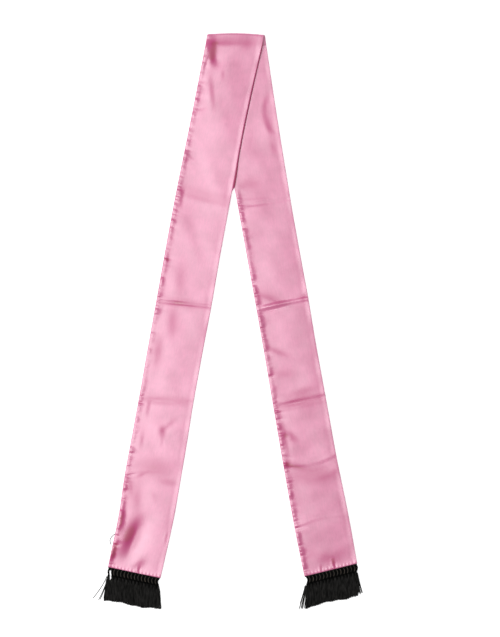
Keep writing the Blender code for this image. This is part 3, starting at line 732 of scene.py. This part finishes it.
def place_over(run, column):
    """Where the over tail's mesh goes: down the tail, and back round the fold where run is below 0."""
    loop = math.pi * FOLD_RADIUS
    down = np.maximum(run, 0.0)
    angle = np.clip(-run / FOLD_RADIUS, 0.0, math.pi)
    back = np.maximum(-run - loop, 0.0)
    wall_ends = smooth((down - CROTCH_DOWN + WALL_ENDS_ABOVE) / WALL_FADES)
    on_top = smooth(down / WALL_FROM) * (1.0 - wall_ends)
    past = WALL_PAST + WALL_OPENS * smooth((down - CROTCH_DOWN + OPENS_ABOVE) / OPENS_OVER)
    beside, width = across_section(OVER, down, column, past * on_top)
    across = beside / width
    high = plan(OVER_LAY, down, across)
    beneath = plan(UNDER_LAY, back, across)
    share = (angle / math.pi)[:, None]
    floor = high * (1.0 - share) + beneath * share
    top = plan(UNDER_LAY, 0.0, 0.0)
    low = plan(UNDER_LAY, CROTCH_DOWN, 0.0)
    lift = smooth((past_line(high, top, low) - DRAPE_FOOT) / (DRAPE_CREST - DRAPE_FOOT))
    from_fold = (2.0 * FOLD_RADIUS - DRAPE_LIFT) * (1.0 - smooth(down / FOLD_SETTLES))
    dip = FOLD_DIP_LEFT + (FOLD_DIP_RIGHT - FOLD_DIP_LEFT) * across
    sunk = dip * (1.0 - smooth((down - FOLD_DIP_FROM) / FOLD_DIP_BY))
    thick, shade = silk_top(OVER, down, beside, width, sunk)
    thick = thick + WALL_RIM * on_top * hump(width - beside - WALL_RIM_AT, WALL_RIM_REACH)
    thick = np.where(run < 0.0, thick + (FLAT_THICKNESS - thick) * smooth(-run / loop), thick)
    up = section_height(thick, column)
    from_axis = FOLD_RADIUS - FLAT_THICKNESS / 2.0 + up
    axis_height = FLAT_THICKNESS / 2.0 + FOLD_RADIUS
    on_tail = np.column_stack((high, DRAPE_LIFT * lift + from_fold + up))
    out = FOLD_FLATTENED * from_axis * np.sin(angle)
    round_fold = np.column_stack((floor[:, 0], floor[:, 1] + out, axis_height + from_axis * np.cos(angle)))
    settle = smooth(down / FOLD_JOINS)[:, None]
    at_fold = np.column_stack((high, 2.0 * FOLD_RADIUS + up))
    points = np.where(run[:, None] >= 0.0, at_fold * (1.0 - settle) + on_tail * settle, round_fold)
    points[:, 1] += (FOLD_SHIFT * (1.0 - smooth(down / SHIFT_FADES_OVER))
                     * (1.0 - smooth(back / SHIFT_FADES_BENEATH)))
    # Shade painted on the wall's steep side, as dark as the crevice beside it
    wall_shade = on_top * smooth((beside - width + WALL_SHADE) / (2.0 * WALL_SHADE))
    return points, (shade + wall_shade) * (level[column] > -0.5)


loop_end = -(math.pi * FOLD_RADIUS)
over_runs = np.concatenate((
    np.linspace(loop_end - PARTING_DOWN, loop_end, 8)[:-1],
    np.linspace(loop_end, 0.0, FOLD_ROWS + 1)[:-1],
    rows_between(0.0, OVER_LAY.sections[-1].down, OVER_CREASES)))
over_tail = cloth_tube("over_tail_silk", over_runs, place_over)
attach(over_tail, "root")
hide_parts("over_tail")

# The two fringes, one sewn into each hem. Black viscose yarn: a twisted heading cord,
# fifteen short bundles that hang from it and end in an overhand knot each, and the
# loose ends below the knots, combed straight, trimmed by eye and a little untidy.

# The yarn's colours: a deeper black, its own black, the pale of its runs, and a lighter brown that is
# painted light
YARN_DEEP = "040404"
YARN_BLACK = "0C0C0B"
YARN_PALE_RUNS = "292827"
YARN_PAINTED_LIT = "463E37"
RUN_WIDTH = 1.7 * MM
RUN_LENGTH = 12.0 * MM

# Sizes from the hem down, in mm, and the level of the heading over the floor
SEAM_GAP = 0.3
HEADING_SHORT_OF_EDGE = 0.8
HEADING_LEVEL = 1.3
KNOT_TOP = 10.5
KNOT_LENGTH = 4.5
FRINGE_LENGTH = 52.0

# The heading cord: two plies round each other, in a turn every 4 mm
HEADING_FROM_HEM = 0.45
HEADING_PLY_OUT = 0.42
HEADING_LAY = 4.0

# The bundles: four plies each, in a turn every 11 mm, drawn in towards the knot
BUNDLE_PLIES = 4
BUNDLE_LAY = 11.0
BUNDLE_OUT, CLOSE_BUNDLE_OUT, BUNDLE_UP = 1.75, 0.9, 0.45
DRAWN_IN = 0.25
# The ends behind end here before a fringe's first gap, and the floor shows below them
OPEN_BELOW = 4.6

# The knot, a trefoil: its loops over its round, its size each way, and its level
KNOT_LOOPS = 1.6
KNOT_ACROSS, KNOT_ALONG, KNOT_DEEP, KNOT_LEVEL = 0.66, 0.62, 0.55, 1.55

# The loose ends, fewer and thicker than the real ones: they leave their knot a golden
# angle apart all round it and fall to these levels over the floor, each with a kink
THREADS_A_TASSEL = 56
THREAD_POINTS = 14
SPREADS_BY = 8.0
KNOT_OUT, KNOT_UP = 1.7, 0.85
GOLDEN_ANGLE = 2.39996
THREAD_LEVELS = (0.3, 2.1)
KINK_OUT, KINK_BENDS = (0.1, 0.45), (0.3, 0.6)

# They are trimmed by eye, in a slow wave, a lock to each snip of the scissors
LOCKS = 24
TRIM_WAVE, TRIM_TURNS = 0.5, 25.0
SNIP_WAVE, SNIP_TURNS = 1.3, 12.9
END_UNEVEN = 0.6

# An end that strays past the side: its share of the width, how far down it leaves, how
# far out it goes, and how much longer it is than the fringe. It falls by this much
Stray = namedtuple("Stray", "share leaves_at reach longer")
STRAY_LEVEL, STRAY_FALL = 1.2, 0.8

# A fringe: its tail, how its left and right sides lean in degrees, how much longer it is
# on the left, its strays and seed, the bow of its bundles, and the first gap with ends
# behind it
Fringe = namedtuple("Fringe", "name tail lean_left lean_right left_longer strays seed bow first_gap")

FRINGES = (
    Fringe("over_fringe", OVER, -8.0, 4.0, 3.2, (
        Stray(0.005, 13.0, -16.5, 4.0), Stray(0.012, 20.0, -8.5, 5.0),
        Stray(0.015, 22.0, -6.5, 3.5)), 3, -1.3, 2),
    Fringe("under_fringe", UNDER, -0.5, 1.5, 0.0, (
        Stray(0.005, 8.0, -11.5, 0.5), Stray(0.01, 9.0, -8.5, -0.5), Stray(0.015, 11.0, -6.0, 1.0),
        Stray(0.008, 8.0, -10.4, -2.5), Stray(0.012, 9.0, -7.2, 0.4), Stray(0.004, 7.0, -9.4, -9.0),
        Stray(0.02, 16.0, -3.5, 0.8), Stray(0.995, 11.0, 8.0, -1.0), Stray(0.99, 16.0, 5.5, 0.5),
        Stray(0.985, 24.0, 3.0, -1.0), Stray(0.992, 14.0, 6.6, -2.0), Stray(0.986, 20.0, 5.0, -1.2),
        Stray(0.982, 22.0, 4.0, -3.5)), 8, 1.2, 1),
)


def twisted_yarn(name, deep, pale_runs, gloss):
    """Dyed viscose yarn: dull, with paler runs along it, partly the fibres that stand off it and partly
    painted highlight.
    """
    material = bpy.data.materials.new(name)
    material.use_nodes = True
    tree = material.node_tree
    place_of = add_node(tree, "ShaderNodeTexCoord", {})
    runs_at = add_node(tree, "ShaderNodeMapping", {
        "Vector": place_of.outputs["Object"],
        "Scale": (1.0 / RUN_WIDTH, 1.0 / RUN_LENGTH, 1.0 / RUN_WIDTH)})
    runs = add_node(tree, "ShaderNodeTexNoise", {
        "Vector": runs_at.outputs["Vector"], "Scale": 1.0, "Detail": 2.0, "Roughness": 0.6})
    ink = add_node(tree, "ShaderNodeValToRGB", {"Fac": runs.outputs["Fac"]})
    ink.color_ramp.elements[0].position = 0.38
    ink.color_ramp.elements[0].color = linear(deep)
    ink.color_ramp.elements[1].position = 0.66
    ink.color_ramp.elements[1].color = linear(pale_runs)
    fill(tree.nodes["Principled BSDF"], {
        "Base Color": ink.outputs["Color"], "Roughness": 0.6, "Specular IOR Level": gloss})
    return material


# The same yarn as it is, a deeper black copy for the bundles, knots and ends behind, and a lighter,
# browner copy with painted light for the ends that cross between the bundles
yarn = twisted_yarn("black_viscose_yarn", YARN_BLACK, YARN_PALE_RUNS, 0.05)
deeper_yarn = twisted_yarn("black_viscose_yarn_deeper", YARN_DEEP, YARN_BLACK, 0.02)
painted_lit_yarn = twisted_yarn("black_viscose_yarn_painted_lit", YARN_PALE_RUNS, YARN_PAINTED_LIT, 0.1)


def heading_line(fringe):
    """Left end of the heading, the line along it, the line away from the hem, and its length."""
    tail = fringe.tail
    end = tail.lay.sections[-1].down
    left = plan(tail.lay, end, 0.0)
    right = plan(tail.lay, end, 1.0)
    along = (right - left) / np.linalg.norm(right - left)
    away = np.array((along[1], -along[0]))
    start = left + along * HEADING_SHORT_OF_EDGE + away * SEAM_GAP
    return start, along, away, np.linalg.norm(right - left) - 2.0 * HEADING_SHORT_OF_EDGE


def fall(fringe, share, reach):
    """Places of the fringe at shares of its width and ways from the hem, x and y in mm."""
    start, along, away, length = heading_line(fringe)
    share, reach = np.broadcast_arrays(share, reach)
    lean = np.radians(fringe.lean_left + (fringe.lean_right - fringe.lean_left) * share)
    hang = np.stack((np.sin(lean), -np.cos(lean)), axis=-1)
    turned = smooth(reach / (KNOT_TOP + KNOT_LENGTH))[..., None]
    straight = away * reach[..., None]
    leaning = away * 0.5 * KNOT_TOP + hang * np.maximum(reach - 0.5 * KNOT_TOP, 0.0)[..., None]
    return start + along * (length * share)[..., None] + straight * (1.0 - turned) + leaning * turned


def yarn_piece(name, paths, thickness, sides_level=1, tips=1.0, material=yarn):
    """Lengths of round yarn as one piece, each along its own path in mm."""
    curve = bpy.data.curves.new(name, "CURVE")
    curve.dimensions = "3D"
    curve.bevel_depth = thickness * MM / 2.0
    curve.bevel_resolution = sides_level
    curve.use_fill_caps = True
    for path in paths:
        spline = curve.splines.new("POLY")
        spline.points.add(len(path) - 1)
        spline.points.foreach_set("co", np.column_stack((path * MM, np.ones(len(path)))).ravel())
        radius = np.ones(len(path))
        radius[-1] = tips
        spline.points.foreach_set("radius", radius)
        spline.use_smooth = True
    curve.materials.append(material)
    piece = in_scene(name, curve)
    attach(piece, "root")
    return piece


def heading_paths(fringe):
    """Two plies twisted into the heading cord."""
    share = np.linspace(0.0, 1.0, 300)
    length = heading_line(fringe)[3]
    for ply in range(2):
        twist = share * length * 2.0 * math.pi / HEADING_LAY + ply * math.pi
        middle = fall(fringe, share, HEADING_FROM_HEM + HEADING_PLY_OUT * np.cos(twist))
        yield np.column_stack((middle, HEADING_LEVEL + HEADING_PLY_OUT * np.sin(twist)))


def bundle_paths(fringe):
    """Four plies of each bundle between the heading and its knot, bowed to one side."""
    length = heading_line(fringe)[3]
    reach = np.linspace(1.0, KNOT_TOP + 1.2, 14)
    for tassel in range(TASSELS):
        middle = (tassel + 0.5) / TASSELS
        bow = fringe.bow * np.sin(math.pi * (reach - 1.0) / KNOT_TOP)
        for ply in range(BUNDLE_PLIES):
            twist = reach * 2.0 * math.pi / BUNDLE_LAY + ply * 2.0 * math.pi / BUNDLE_PLIES + tassel
            drawn = 1.0 - DRAWN_IN * smooth(reach / KNOT_TOP)
            spread = BUNDLE_OUT if tassel >= fringe.first_gap else CLOSE_BUNDLE_OUT
            sideways = spread * drawn * np.cos(twist) + bow
            place = fall(fringe, middle + sideways / length, reach)
            yield np.column_stack((place, HEADING_LEVEL + BUNDLE_UP * np.sin(twist)))


def backing_paths(fringe, ends, spacing, lowest, level):
    """Thin ends behind the gaps between the bundles, which cross from bundle to bundle."""
    random = np.random.default_rng(fringe.seed + 1)
    length = heading_line(fringe)[3]
    for gap in range(1, TASSELS):
        reach = np.linspace(0.6, lowest if gap >= fringe.first_gap else OPEN_BELOW, 12)
        for number in range(ends):
            middle = (number - (ends - 1) / 2.0) * spacing
            sideways = middle + random.uniform(-0.25, 0.25) * smooth(reach / KNOT_TOP)
            bow = fringe.bow * np.sin(math.pi * (reach - 1.0) / KNOT_TOP)
            place = fall(fringe, (gap + (sideways + bow) * TASSELS / length) / TASSELS, reach)
            yield np.column_stack((place, np.full(len(reach), level + 0.1 * (number % 3))))


def knot_paths(fringe):
    """An overhand knot at the foot of each bundle."""
    length = heading_line(fringe)[3]
    turn = np.linspace(0.0, 2.0 * math.pi, 37)
    sideways = (np.sin(turn) + KNOT_LOOPS * np.sin(2.0 * turn)) * KNOT_ACROSS
    lengthways = (np.cos(turn) - KNOT_LOOPS * np.cos(2.0 * turn)) * KNOT_ALONG
    height = -np.sin(3.0 * turn) * KNOT_DEEP
    for tassel in range(TASSELS):
        middle = (tassel + 0.5) / TASSELS
        place = fall(fringe, middle + sideways / length, KNOT_TOP + KNOT_LENGTH / 2.0 + lengthways)
        yield np.column_stack((place, KNOT_LEVEL + height))


def tip_reach(fringe, share, random):
    """How far from the hem an end was trimmed."""
    lock = math.floor(share * LOCKS)
    wave = (TRIM_WAVE * math.sin(share * TRIM_TURNS + fringe.seed)
            + SNIP_WAVE * math.sin(SNIP_TURNS * lock + fringe.seed))
    return FRINGE_LENGTH + fringe.left_longer * (1.0 - share) + wave + random.normal(0.0, END_UNEVEN)


def thread_paths(fringe):
    """The loose ends: gathered in their knot, then spread evenly, each with its own kinks."""
    random = np.random.default_rng(fringe.seed)
    length = heading_line(fringe)[3]
    knot_end = KNOT_TOP + KNOT_LENGTH - 1.0
    for tassel in range(TASSELS):
        for number in range(THREADS_A_TASSEL):
            even = (tassel + (number + random.uniform(0.1, 0.9)) / THREADS_A_TASSEL) / TASSELS
            ring_turn = number * GOLDEN_ANGLE
            ring_out = math.sqrt((number + 0.5) / THREADS_A_TASSEL)
            knot = (tassel + 0.5) / TASSELS + KNOT_OUT * ring_out * math.cos(ring_turn) / length
            reach = np.linspace(knot_end, tip_reach(fringe, even, random), THREAD_POINTS)
            opened = smooth((reach - knot_end) / SPREADS_BY)
            kink = random.uniform(*KINK_OUT) * np.sin(reach * random.uniform(*KINK_BENDS)
                                                      + random.uniform(0.0, 6.3))
            share = knot + (even - knot) * opened + kink * opened / length
            place = fall(fringe, share, reach)
            high = HEADING_LEVEL + 0.2 + KNOT_UP * ring_out * math.sin(ring_turn)
            low = random.uniform(*THREAD_LEVELS)
            yield np.column_stack((place, high + (low - high) * opened))


def stray_paths(fringe):
    """Ends that stray out past the sides of the fringe."""
    length = heading_line(fringe)[3]
    for stray in fringe.strays:
        reach = np.linspace(KNOT_TOP + KNOT_LENGTH, FRINGE_LENGTH + stray.longer, 20)
        gone = np.clip((reach - stray.leaves_at) / (reach[-1] - stray.leaves_at), 0.0, 1.0)
        share = stray.share + stray.reach * gone ** 1.3 / length
        place = fall(fringe, share, reach)
        yield np.column_stack((place, STRAY_LEVEL - STRAY_FALL * gone))


# The loose end of the seam's thread, drawn thicker than it is so that it shows
LOOSE_END = 0.95
LOOSE_END_DOWN = (841.0, 861.0)
LOOSE_END_OUT, LOOSE_END_BACK = 6.6, 0.6
LOOSE_END_ARC = (0.04, 0.86)
LOOSE_END_LEVELS = (1.2, 0.35)
LOOSE_END_POINTS = 16


def loose_end_path():
    """The end of the seam's thread, which lies in an arc beside the over tail's left edge."""
    down = np.linspace(*LOOSE_END_DOWN, LOOSE_END_POINTS)
    arc = math.pi * np.linspace(*LOOSE_END_ARC, LOOSE_END_POINTS)
    out = LOOSE_END_OUT * np.sin(arc) - LOOSE_END_BACK
    place = plan(OVER_LAY, down, -out / TUBE_WIDTH)
    return np.column_stack((place, np.linspace(*LOOSE_END_LEVELS, LOOSE_END_POINTS)))


fringe_pieces = {}
for fringe in FRINGES:
    behind = backing_paths(fringe, ends=9, spacing=0.6, lowest=KNOT_TOP + 12.5, level=0.6)
    crossing = backing_paths(fringe, ends=3, spacing=0.6, lowest=KNOT_TOP + 1.0, level=1.2)
    made = [
        yarn_piece(fringe.name + "_heading", heading_paths(fringe), thickness=0.95),
        yarn_piece(fringe.name + "_bundles", bundle_paths(fringe), thickness=1.9, material=deeper_yarn),
        yarn_piece(fringe.name + "_ends_behind", behind, thickness=1.1, sides_level=0,
                   material=deeper_yarn),
        yarn_piece(fringe.name + "_crossing_ends", crossing, thickness=0.8, sides_level=0,
                   tips=0.4, material=painted_lit_yarn),
        yarn_piece(fringe.name + "_knots", knot_paths(fringe), thickness=1.35, material=deeper_yarn),
        yarn_piece(fringe.name + "_threads", thread_paths(fringe), thickness=0.6, sides_level=0,
                   tips=0.5),
        yarn_piece(fringe.name + "_strays", stray_paths(fringe), thickness=1.1, tips=0.5),
    ]
    for piece in made:
        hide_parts(fringe.name)
    fringe_pieces[fringe.name] = made

loose_end = yarn_piece("over_tail_loose_end", [loose_end_path()], LOOSE_END)
fringe_pieces["over_fringe"].append(loose_end)

# The floor, light and camera: a bright white studio sweep, a key softbox up to the left
# of the scarf, a weak one low beyond the fold that rims its edge, and a camera with a long
# lens straight above the middle of the frame.

PICTURE_ROWS = 637
MM_A_PIXEL = 1.65
FRAME_HEIGHT = PICTURE_ROWS * MM_A_PIXEL * MM
CAMERA_X, CAMERA_Y = 35.4 * MM, 4.95 * MM
LENS = 250.0
SENSOR = 36.0
PAPER_WHITE = "E8E8E8"
PAPER_GLOW = 0.45
STUDIO_LIGHT = 0.27

bpy.ops.mesh.primitive_plane_add(size=30.0, location=(0.0, 0.0, -0.2 * MM))
floor = bpy.context.object
floor.name = "floor"
# Matt white paper, with a glow of its own that leaves only the closest shadows on it
paper = bpy.data.materials.new("white_studio_paper")
paper.use_nodes = True
fill(paper.node_tree.nodes["Principled BSDF"], {
    "Base Color": linear(PAPER_WHITE), "Roughness": 0.9,
    "Emission Color": (1.0, 1.0, 1.0, 1.0), "Emission Strength": PAPER_GLOW})
floor.data.materials.append(paper)


def softbox(name, lean, heading, distance, size, size_across, radiance):
    """A softbox that leans from straight up towards a heading, both in degrees."""
    light = bpy.data.lights.new(name, "AREA")
    light.shape = "RECTANGLE"
    light.size = size
    light.size_y = size_across
    light.energy = radiance * math.pi * size * size_across
    lamp = in_scene(name, light)
    lean, heading = math.radians(lean), math.radians(heading)
    lamp.location = (distance * math.sin(lean) * math.cos(heading),
                     distance * math.sin(lean) * math.sin(heading),
                     distance * math.cos(lean))
    lamp.rotation_euler = (0.0, lean, heading)
    return lamp


softbox("key softbox", lean=27.0, heading=184.0, distance=3.0, size=3.2, size_across=1.7,
        radiance=5.65)
softbox("rim softbox", lean=66.0, heading=90.0, distance=3.0, size=1.2, size_across=1.6,
        radiance=3.0)

world = bpy.data.worlds.new("pale studio")
bpy.context.scene.world = world
world.use_nodes = True
fill(world.node_tree.nodes["Background"], {"Color": (1.0, 1.0, 1.0, 1.0), "Strength": STUDIO_LIGHT})

lens = bpy.data.cameras.new("camera above")
lens.lens = LENS
lens.sensor_width = SENSOR
camera = in_scene("camera above", lens)
camera.location = (CAMERA_X, CAMERA_Y, FRAME_HEIGHT * LENS / SENSOR)
bpy.context.scene.camera = camera
bpy.context.scene.view_settings.view_transform = "Standard"
